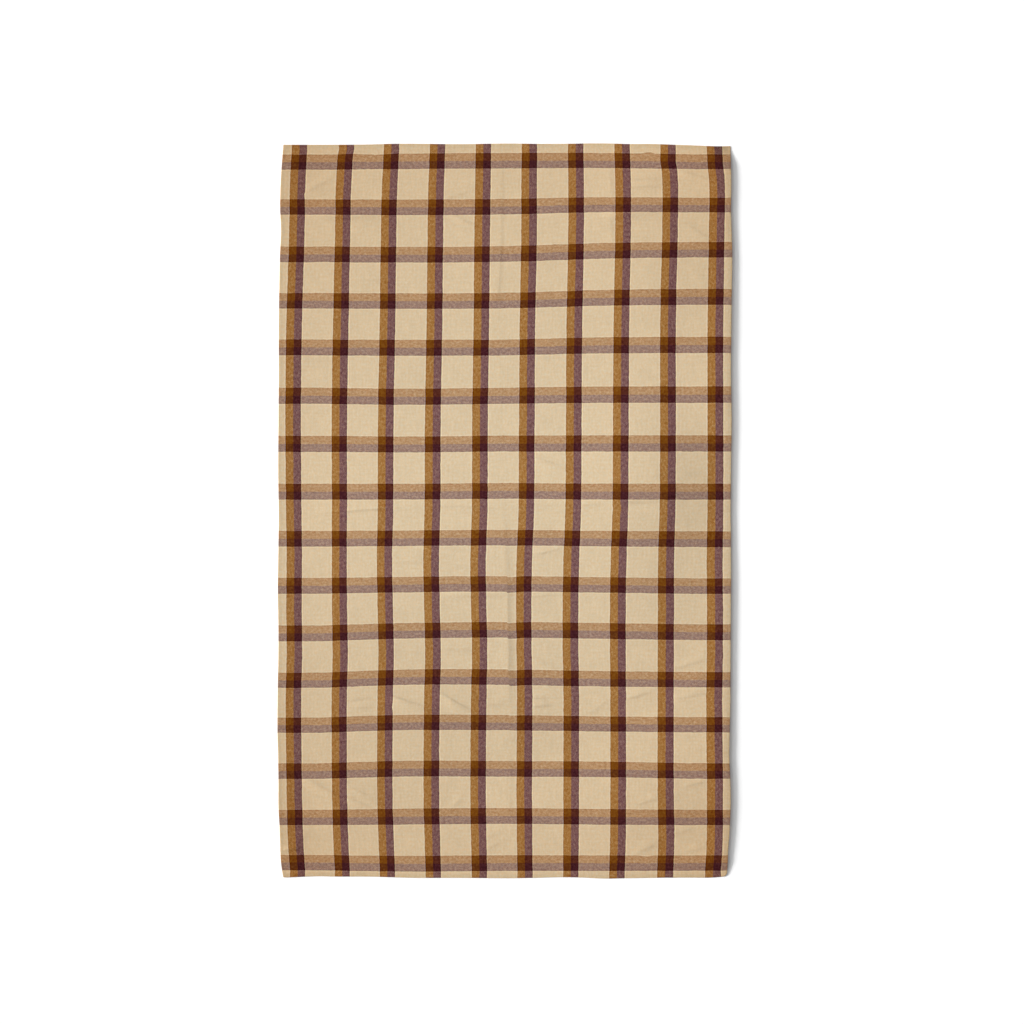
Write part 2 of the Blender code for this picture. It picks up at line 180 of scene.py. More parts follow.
# Creases: the middle of the crest, its length, its turn from +X towards +Y and its height, and how
# far the cloth comes down on its upper side and on its lower side. A height below 0 makes a trough.
Crease = namedtuple("Crease", "across along run turn lift_mm upper_mm lower_mm")
CREASES = (
    Crease(-0.575, 1.012, 0.160, 27, 0.45, 20, 6),
    Crease(-0.142, 0.983, 0.150, 17, 0.45, 20, 7),
    Crease(0.325, 1.017, 0.130, -87, 0.28, 7, 20),
    Crease(0.436, 1.030, 0.160, 0, 1.20, 20, 7),
    Crease(0.430, 1.008, 0.150, 0, 0.90, 20, 7),
    Crease(0.579, 1.040, 0.160, -15, 1.10, 8, 20),
    Crease(-0.490, 0.916, 0.320, 0, 2.50, 30, 18),
    Crease(-0.125, 0.898, 0.130, -26, 0.70, 7, 20),
    Crease(0.328, 0.880, 0.130, -90, 0.28, 7, 20),
    Crease(0.370, 0.917, 0.240, 2, 2.00, 25, 16),
    Crease(0.584, 0.870, 0.140, -31, 0.50, 8, 20),
    Crease(-0.429, 0.716, 0.150, 0, 0.90, 25, 7),
    Crease(0.137, 0.148, 0.150, -18, 1.20, 8, 25),
    Crease(0.430, 0.022, 0.200, 0, -1.30, 9, 25),
    Crease(-0.305, -0.152, 0.140, 8, 0.50, 25, 8),
    Crease(0.135, -0.122, 0.160, 15, 0.70, 25, 7),
    Crease(-0.080, -0.259, 0.300, 0, 1.60, 25, 10),
    Crease(0.115, -0.259, 0.130, 3, 1.00, 20, 7),
    Crease(0.125, -0.276, 0.130, 16, 0.45, 20, 7),
    Crease(-0.160, -0.425, 0.200, 0, 1.00, 25, 12),
    Crease(0.122, -0.470, 0.150, -18, 1.00, 10, 20),
    Crease(0.274, -0.469, 0.120, 20, 0.28, 20, 7),
    Crease(0.576, -0.469, 0.150, 16, 0.75, 25, 8),
    Crease(-0.441, -0.578, 0.150, 10, 0.70, 25, 7),
    Crease(-0.440, -0.604, 0.110, 0, 0.70, 20, 7),
    Crease(-0.300, -0.592, 0.190, -17, 2.10, 8, 30),
    Crease(-0.155, -0.594, 0.180, -30, 1.30, 9, 30),
    Crease(-0.028, -0.596, 0.110, 5, 0.70, 25, 7),
    Crease(0.118, -0.575, 0.120, 0, 1.20, 25, 7),
    Crease(0.107, -0.601, 0.090, 0, 1.20, 20, 7),
    Crease(0.288, -0.604, 0.120, 35, 0.32, 20, 7),
    Crease(0.423, -0.564, 0.160, 15, 1.00, 25, 10),
    Crease(0.579, -0.569, 0.150, 10, 0.70, 25, 7),
    Crease(0.580, -0.738, 0.140, 15, 0.40, 25, 8),
    Crease(-0.573, -0.854, 0.140, -24, 1.15, 9, 25),
    Crease(-0.440, -0.877, 0.160, -24, 0.70, 9, 25),
    Crease(-0.455, -0.904, 0.110, -22, 0.90, 8, 20),
    Crease(-0.149, -0.900, 0.080, 42, 0.40, 20, 7),
    Crease(0.130, -0.911, 0.110, 8, 0.50, 25, 7),
    Crease(0.450, -0.893, 0.120, 15, 0.70, 25, 8),
    Crease(0.596, -0.839, 0.130, 14, 0.80, 25, 8),
    Crease(-0.626, -1.004, 0.040, -63, 0.70, 28, 40),
    Crease(-0.655, -1.045, 0.090, 0, 2.20, 16, 6),
    Crease(-0.028, -0.998, 0.110, 20, 0.40, 20, 7),
    Crease(-0.028, -1.029, 0.110, 25, 0.40, 20, 7),
    Crease(0.438, -1.039, 0.120, 25, 0.75, 25, 12),
    Crease(0.590, -1.046, 0.100, 12, 0.50, 20, 10),
    Crease(0.556, -0.987, 0.080, 20, 0.35, 20, 7),
)

# The highest place of a crease's crest, from its left end at -1 to its right end at 1
CREST_TOP = -0.15

# Broad, low swells: the middle, the reach to the left and to the right, the size along, and the lift
Swell = namedtuple("Swell", "across along left right long lift_mm")
SWELLS = (
    Swell(0.340, -0.030, 0.920, 0.340, 1.160, 7.5),
    Swell(0.370, 0.740, 0.730, 0.310, 0.760, 4.2),
    Swell(-0.400, -0.020, 0.270, 0.560, 1.120, 3.0),
    Swell(0.330, -0.920, 0.520, 0.350, 0.420, 5.6),
    Swell(0.500, 0.100, 0.600, 0.180, 0.500, 2.5),
    Swell(-0.220, -0.595, 0.260, 0.260, 0.210, 0.8),
    Swell(-0.480, -0.910, 0.150, 0.150, 0.260, 0.8),
)

# The cloth's small unevenness all over: its height, the size of its waves, and the seed of its noise
Unevenness = namedtuple("Unevenness", "height_mm size seed")
UNEVENNESS = (
    Unevenness(0.20, 0.110, 1.5),
    Unevenness(0.06, 0.035, 4.5),
)
LOWEST_MM = -0.2

# The check: a mustard band and a plum band beside it repeat across the cloth and along it
PITCH = 0.1449
FIRST_ACROSS = -0.6795
FIRST_ALONG = 1.1095
YARN = 0.0009

# The steps in a pair's dye across it, from the start of the mustard: the outermost yarns took a
# little more of it than the others, and left the cream beside them a little paler
Dye = namedtuple("Dye", "start_mm mustard plum")
DYES = (
    Dye(-3.5, -0.09, 0.00),
    Dye(0.0, 1.09, 0.00),
    Dye(3.5, 1.00, 0.00),
    Dye(24.2, 0.00, 1.00),
    Dye(44.9, 0.00, 1.09),
    Dye(48.4, 0.00, -0.09),
    Dye(51.9, 0.00, 0.00),
)

# How sharply one yarn passes over the other, and how much paler its knuckle is painted than its
# ends: painted shade, darker in the gaps between the yarns
OVER_SHARPNESS = 3.0
KNUCKLE_PAINTED_SHADE = 0.18
KNUCKLE_MEAN = 0.6

# The waves of something uneven: their sizes across the cloth and along it, and the noise's seed
Wave = namedtuple("Wave", "across along seed")

# How far the yarns sway out of line
SWAY = 0.0022
WARP_SWAY = Wave(0.30, 0.045, 2.0)
WEFT_SWAY = Wave(0.045, 0.30, 5.0)
FINE_SWAY = 0.0020
WARP_FINE_SWAY = Wave(0.030, 0.012, 8.0)
WEFT_FINE_SWAY = Wave(0.012, 0.030, 9.0)

# How unevenly the yarns are dyed: the plum less than the mustard, and less where dyed yarns cross
WARP_FLECK = 1.45
WARP_FLECK_WAVE = Wave(0.0065, 0.0085, 11.0)
WEFT_FLECK = 1.9
WEFT_FLECK_WAVE = Wave(0.0085, 0.0065, 12.0)
PLUM_FLECK = 0.8
CROSSING_FLECK = 0.75
HEM_TONE = -0.03

# The cloth is warmer from its middle towards its rim, more along it than across, and a little darker
# and yellower along its edge. Its corners are painted darker and warmer, painted shade where the
# light falls off towards them.
# Some of its yarns are warmer than others.
OUTWARD_WARMING = (0.05, 0.00, -0.05)
WARMING_ACROSS = 0.5
WARMING_MIDDLE = -0.5
RIM_WIDTH = 0.009
RIM_DARKENING = (-0.03, -0.05, -0.10)
CORNER_PAINTED_SHADE = (-0.10, -0.14, -0.18)
WARMTH = (0.0, 0.50, 1.0)
WARMTH_DEPTH = 0.62
WARMTH_WAVE = Wave(0.0068, 0.0082, 27.0)

# The uneven light and dark in the yarns, as waves and how deep they are. The slubs also stand up a
# little in the bump.
Tone = namedtuple("Tone", "name wave depth")
WARP_SLUBS = Tone("warp_slubs", Wave(0.0022, 0.016, 14.0), 0.10)
WEFT_SLUBS = Tone("weft_slubs", Wave(0.016, 0.0022, 17.0), 0.06)
TONES = (
    Tone("grain", Wave(0.0065, 0.0085, 21.0), 0.07),
    Tone("warp_streaks", Wave(0.0060, 0.050, 31.0), 0.16),
    Tone("weft_streaks", Wave(0.050, 0.0060, 34.0), 0.13),
    Tone("blotches", Wave(0.040, 0.050, 24.0), 0.07),
)
TONE_DETAIL = 2.0
BUMP_STRENGTH = 0.5
BUMP_DISTANCE = 0.00020
WARP_SLUB_RISE = 0.8
WEFT_SLUB_RISE = 0.5

# How far the lengthwise bands lie to the right of their straight lines, a row for each section up
# the cloth. The columns are places across it, and the lengthwise fold lies between the two that are
# named for it.
Sideways = namedtuple(
    "Sideways", "along left left_quarter left_of_fold right_of_fold right_quarter near_right right"
)
SIDEWAYS_PLACES = (-0.65, -0.37, -0.08, 0.07, 0.36, 0.50, 0.65)
SIDEWAYS = (
    Sideways(1.12, 18, 13, 8, 5, 2, -1, -2),
    Sideways(1.01, 12, 7, 6, 4, 5, 6, 6),
    Sideways(0.87, 10, 4, 4, 4, 5, 5, 5),
    Sideways(0.58, 1, 0, 1, -1, 0, -1, 1),
    Sideways(0.29, -2, -5, -3, -3, -2, -1, 1),
    Sideways(0.00, 0, -6, -4, -5, -4, -3, 1),
    Sideways(-0.15, 2, -9, -9, -11, -9, -7, -1),
    Sideways(-0.29, 1, -7, -7, -13, -11, -7, 0),
    Sideways(-0.44, 2, -4, -4, -12, -11, -8, 0),
    Sideways(-0.58, -1, -7, -7, -10, -10, -8, -2),
    Sideways(-0.87, 2, -8, -9, -11, -10, -8, 0),
    Sideways(-1.02, 6, -4, -7, -10, -11, -6, -1),
    Sideways(-1.11, 12, 0, -5, -9, -14, -9, -6),
)

# How far the crosswise bands lie above their straight lines, a row for each section up the cloth.
# The columns are places across it.
Upward = namedtuple("Upward", "along left left_quarter middle right_quarter right")
UPWARD_PLACES = (-0.58, -0.29, 0.00, 0.29, 0.58)
UPWARD = (
    Upward(1.09, -5, -2, 0, 0, -5),
    Upward(0.94, 2, 1, 3, 9, 8),
    Upward(0.80, 0, -1, 1, 10, 14),
    Upward(0.51, 2, 1, 2, 8, 9),
    Upward(0.36, -3, -6, -3, 0, 0),
    Upward(0.07, -10, -10, -8, -10, -10),
    Upward(-0.22, -12, -8, -6, -9, -13),
    Upward(-0.36, -14, -6, -3, -6, -10),
    Upward(-0.51, -15, -5, -5, -10, -13),
    Upward(-0.65, -9, 0, -1, -5, -7),
    Upward(-0.80, -6, 2, 1, 0, -5),
    Upward(-0.94, -5, -2, 0, -2, -4),
    Upward(-1.09, 1, -3, -1, -1, 0),
)

# Places where the bands are pulled aside: the middle, the size across and along, and the shift
Kink = namedtuple("Kink", "across along wide long right_mm up_mm")
KINKS = (
    Kink(0.444, 1.111, 0.050, 0.060, 0.0, 4.0),
    Kink(-0.495, 1.125, 0.120, 0.060, 5.0, 0.0),
    Kink(-0.475, 1.095, 0.060, 0.060, 0.0, 2.0),
    Kink(-0.400, 1.105, 0.120, 0.050, 0.0, -2.5),
    Kink(-0.622, 0.979, 0.030, 0.020, -2.5, 0.0),
    Kink(0.504, 1.085, 0.140, 0.070, -3.5, 0.0),
    Kink(0.649, 1.070, 0.120, 0.090, -2.0, 0.0),
    Kink(0.437, -1.072, 0.050, 0.060, 0.0, -3.0),
    Kink(0.350, 0.008, 0.070, 0.034, 2.5, 0.0),
    Kink(-0.350, -0.606, 0.060, 0.030, -2.5, 0.0),
)

# How far the cloth lies lower just to the right of the lengthwise fold's crest
Slip = namedtuple("Slip", "along down_mm")
SLIPS = (
    Slip(-0.700, 0.0),
    Slip(-0.550, 3.0),
    Slip(-0.200, 3.0),
    Slip(-0.050, 0.0),
)
SLIP_REACH = 0.060

# How finely the sheet is drawn
OUTLINE_SPACING = 0.008
ARC_STEPS = 6
RING_INSETS = (
    0.0, 0.00008, 0.0003, 0.0007, 0.0045, 0.0083, 0.0095, 0.0107, 0.0120, 0.0135, 0.0150, 0.0200
)
LATTICE_SPACING = 0.0120
LINE_SPACING = 0.006
LATTICE_INSET = 0.026
FLANK_SPACING = 0.0028
CREASE_LINE_SHARE = 0.96
CREST_GAP = 0.0025
FOLD_SHARES = (0.15, 0.35, 0.65, 1.0)
LINE_GAP = 0.0019
LATTICE_GAP = 0.0070
MERGE_DISTANCE = 0.00002

# Stitches of the hem
STITCH_INSET = 0.0095
STITCH_PITCH = 0.0045
STITCH_LENGTH = 0.0026
STITCH_RADIUS = 0.0002
STITCH_SIDES = 5
STITCH_SHOULDER = 0.32
STITCH_SINK = 0.5
GROOVE_MM = 0.08
GROOVE_WIDTH = 0.0016
PUCKER_MM = 0.08
PUCKER_SIZE = 0.024
PUCKER_SEED = 7.5

# The light that each yarn leaves of the cream cloth's, by channel, and how much deeper than that the
# colour is where dyed yarns cross
CREAM = (0.666, 0.513, 0.328)
MUSTARD_WARP = (0.521, 0.316, 0.127)
PLUM_WARP = (0.266, 0.160, 0.244)
MUSTARD_WEFT = (0.670, 0.508, 0.392)
PLUM_WEFT = (0.465, 0.380, 0.457)
DEEPER_MUSTARD = (0.29, 0.24, 0.53)
DEEPER_PLUM = (0.21, 0.39, 0.44)
THREAD_CONTRAST = 0.30
THREAD = (0.42, 0.32, 0.20)
THREAD_GRAIN = 900
THREAD_DARKEST = 0.85
THREAD_UNEVENNESS = 0.3

# Camera
PICTURE_WIDTH = 3.171
FOCAL_LENGTH_MM = 85
SENSOR_MM = 36
CAMERA_ACROSS = 0.0202
CAMERA_ALONG = -0.0021

# Light: the turn of the window's light from +X towards -Y; each part of the window as its height in
# degrees, its size in degrees and its strength; and a soft box over the cloth
LIGHT_TURN = 9
Window = namedtuple("Window", "name height size strength")
WINDOWS = (
    Window("window_low", 13, 14, 8.6),
    Window("window_high", 30, 32, 1.3),
)
LAMP_ACROSS = -0.08
LAMP_ALONG = 0.13
LAMP_HEIGHT = 1.2
LAMP_SIZE = 0.7
LAMP_POWER = 2.8
SKY_STRENGTH = 0.12
FLOOR_SIZE = 80.0
FLOOR_LEVEL = -0.0004
FLOOR_WHITE = 0.97
FLOOR_GLOW = 0.13


def between(knots, values, places):
    """Values at places between knots, on a smooth curve through the knots.

    The values have a row for each knot, and either one column or one for each place.
    """
    knots = np.asarray(knots, float)
    values = np.broadcast_to(values, (len(knots), len(places)))
    wide_knots = np.pad(knots, 1, mode="edge")
    wide_values = np.pad(values, ((1, 1), (0, 0)), mode="edge")
    slopes = (wide_values[2:] - wide_values[:-2]) / (wide_knots[2:] - wide_knots[:-2])[:, None]
    places = np.clip(places, knots[0], knots[-1])
    low = np.clip(np.searchsorted(knots, places, side="right") - 1, 0, len(knots) - 2)
    each = np.arange(len(places))
    span = knots[low + 1] - knots[low]
    t = (places - knots[low]) / span
    return (
        values[low, each] * (1 + 2 * t) * (1 - t) ** 2
        + slopes[low, each] * span * t * (1 - t) ** 2
        + values[low + 1, each] * t * t * (3 - 2 * t)
        - slopes[low + 1, each] * span * t * t * (1 - t)
    )


def column(rows, name, places):
    """One column of a table, at places between its rows."""
    rows = sorted(rows)
    values = np.array([[getattr(row, name)] for row in rows], float)
    return between([row[0] for row in rows], values, places)


def field(rows, stations, along, across):
    """A table's value at points, where its columns stand at stations across the other way."""
    columns = np.array([column(rows, name, along) for name in rows[0]._fields[1:]])
    return between(stations, columns, across)


def wobble(x, y, size, seed):
    """Smooth, uneven values from about -1 to 1, whose waves are about size wide."""
    return np.array([noise.noise((a / size, b / size, seed)) for a, b in zip(x, y)])


def shift(u, v):
    """How far points of the flat cut cloth move when it is spread out."""
    from_left = u / WIDTH + 0.5
    from_bottom = v / LENGTH + 0.5
    left = column(SIDES, "left_mm", v)
    right = column(SIDES, "right_mm", v)
    bottom = column(ENDS, "bottom_mm", u)
    top = column(ENDS, "top_mm", u)
    return MM * (left + (right - left) * from_left), MM * (bottom + (top - bottom) * from_bottom)


def cut_point(x, y):
    """Where laid points lie on the flat cut cloth."""
    u, v = x, y
    for _ in range(3):
        right, up = shift(u, v)
        u, v = x - right, y - up
    return u, v


def inset_of(x, y):
    """How far laid points lie inside the cut edge."""
    u, v = cut_point(x, y)
    side = WIDTH / 2 - np.abs(u)
    end = LENGTH / 2 - np.abs(v)
    radius = np.where((u > 0) & (v < 0), WORN_CORNER_RADIUS, TURNED_CORNER_RADIUS)
    rounded = radius - np.hypot(radius - side, radius - end)
    return np.where((side < radius) & (end < radius), rounded, np.minimum(side, end))


def eased(share):
    """A bump's height at a share of its reach: 1 in the middle and 0 from its rim on."""
    return np.where(np.abs(share) < 1, (1 - share * share) ** 2, 0.0)


def creased(share):
    """The height of a pressed crease at a share of its reach: sharp at its crest."""
    return np.where(share < 1, (1 - share) ** 2, 0.0)


def sagging(share):
    """The height of cloth that sags from a held edge at a share of its reach: level at both ends."""
    return np.where(share < 1, (1 - share) ** 2 * (1 + 2 * share), 0.0)


def lengthwise_height(x, y):
    away = x - MM * column(LENGTHWISE_FOLD, "crest_mm", y)
    lift = np.maximum(column(LENGTHWISE_FOLD, "lift_mm", y), 0)
    steep = MM * column(LENGTHWISE_FOLD, "steep_mm", y)
    right = creased(np.maximum(away, 0) / steep)
    left = creased(np.maximum(-away, 0) / LENGTHWISE_GENTLE)
    return lift * right * left


def crosswise_height(x, y):
    away = y - MM * column(CROSSWISE_FOLD, "crest_mm", x)
    lift = np.maximum(column(CROSSWISE_FOLD, "lift_mm", x), 0)
    steep = MM * column(CROSSWISE_FOLD, "steep_mm", x)
    upper = creased(np.maximum(away, 0) / CROSSWISE_GENTLE)
    lower = creased(np.maximum(-away, 0) / steep)
    return lift * upper * lower


def crease_height(crease, x, y):
    turn = math.radians(crease.turn)
    dx = x - crease.across
    dy = y - crease.along
    run = (dx * math.cos(turn) + dy * math.sin(turn)) * 2 / crease.run
    off = dy * math.cos(turn) - dx * math.sin(turn)
    reach = MM * np.where(off > 0, crease.upper_mm, crease.lower_mm)
    from_top = run - CREST_TOP
    along = from_top / np.where(from_top < 0, 1 + CREST_TOP, 1 - CREST_TOP)
    return crease.lift_mm * eased(along) * eased(off / reach)


def swell_height(swell, x, y):
    reach = np.where(x < swell.across, swell.left, swell.right)
    share = np.hypot((x - swell.across) / reach, (y - swell.along) * 2 / swell.long)
    return swell.lift_mm * eased(share)


def edge_height(x, y):
    """How far the edges lift the cloth near them."""
    from_left = np.maximum(x + WIDTH / 2 - MM * column(SIDES, "left_mm", y), 0)
    from_right = np.maximum(WIDTH / 2 + MM * column(SIDES, "right_mm", y) - x, 0)
    from_top = np.maximum(LENGTH / 2 + MM * column(ENDS, "top_mm", x) - y, 0)
    left_lift = np.maximum(column(SIDE_LIFTS, "left_mm", y), 0)
    right_lift = np.maximum(column(SIDE_LIFTS, "right_mm", y), 0)
    height = left_lift * creased(from_left / LEFT_LIFT_WIDTH)
    height += right_lift * sagging(from_right / RIGHT_LIFT_WIDTH)
    height -= right_lift * RIGHT_DROOP * creased(from_right / RIGHT_DROOP_WIDTH)
    return height - TIP_DROP_MM * eased(np.hypot(from_right, from_top) / TIP_REACH)


def relief(x, y):
    """The height in millimetres of the cloth's folds, swells and creases above the surface."""
    height = edge_height(x, y) + lengthwise_height(x, y) + crosswise_height(x, y)
    for swell in SWELLS:
        height += swell_height(swell, x, y)
    for crease in CREASES:
        height += crease_height(crease, x, y)
    for uneven in UNEVENNESS:
        height += uneven.height_mm * wobble(x, y, uneven.size, uneven.seed)
    return np.maximum(height, LOWEST_MM)


def step(low, high, places):
    """0 up to low and 1 from high on, eased between."""
    t = np.clip((places - low) / (high - low), 0, 1)
    return t * t * (3 - 2 * t)


def heights(x, y, inset):
    """The heights of the sheet's underside and top, of which the hem thickens the underside."""
    in_hem = 1 - step(HEM_WIDTH, HEM_WIDTH + HEM_STEP, inset)
    hem_rise = HEM_THICKNESS - CLOTH_THICKNESS
    sag = sagging(np.maximum(inset - HEM_WIDTH, 0) / HEM_SAG_WIDTH)
    near_hem = 1 - step(HEM_WIDTH, 2 * HEM_WIDTH, inset)
    pucker = PUCKER_MM * MM * wobble(x, y, PUCKER_SIZE, PUCKER_SEED) * near_hem
    groove = GROOVE_MM * MM * eased((inset - STITCH_INSET) / GROOVE_WIDTH)
    smooth_top = MM * relief(x, y) + CLOTH_THICKNESS + hem_rise * sag
    thick = CLOTH_THICKNESS + hem_rise * in_hem
    underside = np.maximum(smooth_top - thick, 0) + groove
    top = smooth_top + pucker - groove
    turned = np.minimum(inset / (HEM_THICKNESS / 2), 1)
    middle = (underside + top) / 2
    half = (top - underside) / 2 * np.sqrt(1 - (1 - turned) ** 2)
    return middle - half, middle + half


def corner(x, y, radius, start_degrees):
    """A rounded corner's points, anticlockwise; the corner is at x, y before it is rounded."""
    middle = math.radians(start_degrees + 45)
    centre_x = x - math.copysign(radius, math.cos(middle))
    centre_y = y - math.copysign(radius, math.sin(middle))
    angles = np.radians(start_degrees + 90 * np.arange(ARC_STEPS + 1) / ARC_STEPS)
    return np.stack([centre_x + radius * np.cos(angles), centre_y + radius * np.sin(angles)], 1)


def ring(inset):
    """The laid points of a loop that runs a distance inside the cut edge, anticlockwise."""
    right = WIDTH / 2 - inset
    top = LENGTH / 2 - inset
    worn = max(WORN_CORNER_RADIUS - inset, TURNED_CORNER_RADIUS)
    corners = (
        corner(-right, -top, TURNED_CORNER_RADIUS, 180),
        corner(right, -top, worn, 270),
        corner(right, top, TURNED_CORNER_RADIUS, 0),
        corner(-right, top, TURNED_CORNER_RADIUS, 90),
    )
    runs = []
    for this, following in zip(corners, corners[1:] + corners[:1]):
        start, end = this[-1], following[0]
        steps = round(math.dist(start, end) / OUTLINE_SPACING)
        shares = np.arange(1, steps)[:, None] / steps
        runs += [this, start + (end - start) * shares]
    u, v = np.concatenate(runs).T
    right_shift, up_shift = shift(u, v)
    return np.stack([u + right_shift, v + up_shift], 1)


def fold_lines(rows, gentle, side, limit, turned):
    """The lines along a long fold: its crest, its steep flank on the side given by a sign, and its
    gentle flank on the other."""
    steps = round(2 * limit / LINE_SPACING)
    place = np.linspace(-limit, limit, steps + 1)
    crest = MM * column(rows, "crest_mm", place)
    steep = MM * column(rows, "steep_mm", place)
    offsets = [crest, crest - CREST_GAP, crest + CREST_GAP]
    for share in FOLD_SHARES:
        offsets += [crest + share * side * steep, crest - share * side * gentle]
    return [np.stack([place, offset] if turned else [offset, place], 1) for offset in offsets]


def crease_lines(crease):
    turn = math.radians(crease.turn)
    steps = round(crease.run / LINE_SPACING)
    half = CREASE_LINE_SHARE / 2
    run = np.linspace(-half, half, steps + 1) * crease.run
    lines = []
    for side, flank in ((1, crease.upper_mm * MM), (-1, crease.lower_mm * MM)):
        count = round(math.sqrt(flank / FLANK_SPACING)) + 2
        for off in side * flank * np.arange(count) / (count - 1):
            x = crease.across + run * math.cos(turn) - off * math.sin(turn)
            y = crease.along + run * math.sin(turn) + off * math.cos(turn)
            lines.append(np.stack([x, y], 1))
    return lines


def lattice():
    """Points in even rows over the whole cloth, each row half a step to the side of the last."""
    row_gap = LATTICE_SPACING * math.sqrt(3) / 2
    rows = np.arange(-LENGTH / 2, LENGTH / 2, row_gap)
    places = np.arange(-WIDTH / 2, WIDTH / 2, LATTICE_SPACING)
    points = [
        (x + (index % 2) * LATTICE_SPACING / 2, y) for index, y in enumerate(rows) for x in places
    ]
    return np.array(points)


class Spread:
    """Points that keep a distance from each other, the first ones first."""

    def __init__(self):
        self.points = []
        self.cells = {}
        self.size = LATTICE_GAP

    def near(self, x, y, gap):
        column_index, row_index = math.floor(x / self.size), math.floor(y / self.size)
        for i in (column_index - 1, column_index, column_index + 1):
            for j in (row_index - 1, row_index, row_index + 1):
                for a, b in self.cells.get((i, j), ()):
                    if (a - x) ** 2 + (b - y) ** 2 < gap * gap:
                        return True
        return False

    def add(self, x, y, gap):
        if gap and self.near(x, y, gap):
            return
        self.points.append((x, y))
        key = (math.floor(x / self.size), math.floor(y / self.size))
        self.cells.setdefault(key, []).append((x, y))


def flat_triangles():
    """The sheet from above: its points, each one's inset, its triangles and the rim's points.

    A triangle between three points of the rim lies outside it, where the rim bends inwards.
    """
    rings = [ring(inset) for inset in RING_INSETS]
    spread = Spread()
    edges = []
    insets = []
    for loop, inset in zip(rings, RING_INSETS):
        first = len(spread.points)
        count = len(loop)
        for x, y in loop:
            spread.add(x, y, 0)
        edges += [(first + i, first + (i + 1) % count) for i in range(count)]
        insets += [inset] * count
    inner = fold_lines(LENGTHWISE_FOLD, LENGTHWISE_GENTLE, 1, LENGTH / 2, False)
    inner += fold_lines(CROSSWISE_FOLD, CROSSWISE_GENTLE, -1, WIDTH / 2, True)
    for crease in CREASES:
        inner += crease_lines(crease)
    for gap, group in ((LINE_GAP, np.concatenate(inner)), (LATTICE_GAP, lattice())):
        keep = inset_of(group[:, 0], group[:, 1]) > LATTICE_INSET - (LATTICE_GAP - gap)
        for x, y in group[keep]:
            spread.add(x, y, gap)
    made = delaunay_2d_cdt([Vector(p) for p in spread.points], edges, [], 1, MERGE_DISTANCE, True)
    points, _, triangles, sources = made[:4]
    x, y = np.array([tuple(p) for p in points]).T
    inset = np.maximum(inset_of(x, y), 0)
    rim = set()
    for index, found in enumerate(sources):
        known = [source for source in found if source < len(insets)]
        if known:
            inset[index] = insets[known[0]]
            if known[0] < len(rings[0]):
                rim.add(index)
    inside = [triangle for triangle in triangles if not rim.issuperset(triangle)]
    return x, y, inset, inside, sorted(rim)


def woven_point(x, y):
    """The coordinates of the woven cloth at laid points."""
    right = field(SIDEWAYS, SIDEWAYS_PLACES, y, x)
    up = field(UPWARD, UPWARD_PLACES, y, x)
    for kink in KINKS:
        share = np.hypot((x - kink.across) * 2 / kink.wide, (y - kink.along) * 2 / kink.long)
        right = right + kink.right_mm * eased(share)
        up = up + kink.up_mm * eased(share)
    past_crest = x - MM * column(LENGTHWISE_FOLD, "crest_mm", y)
    slip = column(SLIPS, "down_mm", y) * sagging(np.maximum(past_crest, 0) / SLIP_REACH)
    up = up - np.where(past_crest > 0, slip, 0)
    return x - MM * right, y - MM * up


def outward(x, y):
    """The direction of the nearest edge from laid points, in whole steps."""
    u, v = cut_point(x, y)
    to_side = WIDTH / 2 - np.abs(u) < LENGTH / 2 - np.abs(v)
    return np.where(to_side, np.sign(u), 0), np.where(to_side, 0, np.sign(v))


def make_cloth():
    """The cloth as one closed sheet. The triangles of its top come first, then the underside's."""
    x, y, inset, triangles, rim = flat_triangles()
    low, high = heights(x, y, inset)
    count = len(x)
    below = np.arange(count) + count
    below[rim] = rim
    triangles = np.array(triangles)
    flipped = below[triangles][:, ::-1]
    faces = np.concatenate([triangles, flipped])
    points = np.concatenate([np.stack([x, y, high], 1), np.stack([x, y, low], 1)])
    insets = np.concatenate([inset, inset])
    u, v = woven_point(x, y)
    turned_u, turned_v = outward(x, y)
    top_map = np.stack([u, v], 1)
    turned_map = top_map + 2 * inset[:, None] * np.stack([turned_u, turned_v], 1)
    in_hem = (inset[triangles] <= HEM_WIDTH + MERGE_DISTANCE).all(axis=1)
    below_map = np.where(in_hem[:, None, None], turned_map[triangles], top_map[triangles])
    loops = np.concatenate([top_map[triangles], below_map[:, ::-1]]).reshape(-1, 2)
    used, faces = np.unique(faces, return_inverse=True)
    faces = faces.reshape(-1, 3)
    mesh = bpy.data.meshes.new("woven_cloth")
    mesh.from_pydata(points[used].tolist(), [], faces.tolist())
    mesh.uv_layers.new(name="Woven").data.foreach_set("uv", loops.astype(np.float32).ravel())
    attribute = mesh.attributes.new("inset", "FLOAT", "POINT")
    attribute.data.foreach_set("value", insets[used].astype(np.float32))
    mesh.shade_smooth()
    mesh.update()
    cloth = bpy.data.objects.new("woven_cloth", mesh)
    bpy.context.scene.collection.objects.link(cloth)
    return cloth


def stitch_shape():
    """One stitch along +X: the points of a small spindle, and its faces."""
    sides = STITCH_SIDES
    points = [(-0.5, 0.0, 0.0)]
    for along in (-STITCH_SHOULDER, STITCH_SHOULDER):
        for side in range(sides):
            angle = 2 * math.pi * side / sides
            points.append((along, math.cos(angle), math.sin(angle)))
    points.append((0.5, 0.0, 0.0))
    last = len(points) - 1
    faces = []
    for side in range(sides):
        following = (side + 1) % sides
        a, b = 1 + side, 1 + following
        c, d = a + sides, b + sides
        faces += [(0, b, a), (a, b, d, c), (c, d, last)]
    scale = np.array([STITCH_LENGTH, STITCH_RADIUS, STITCH_RADIUS])
    return np.array(points) * scale, faces


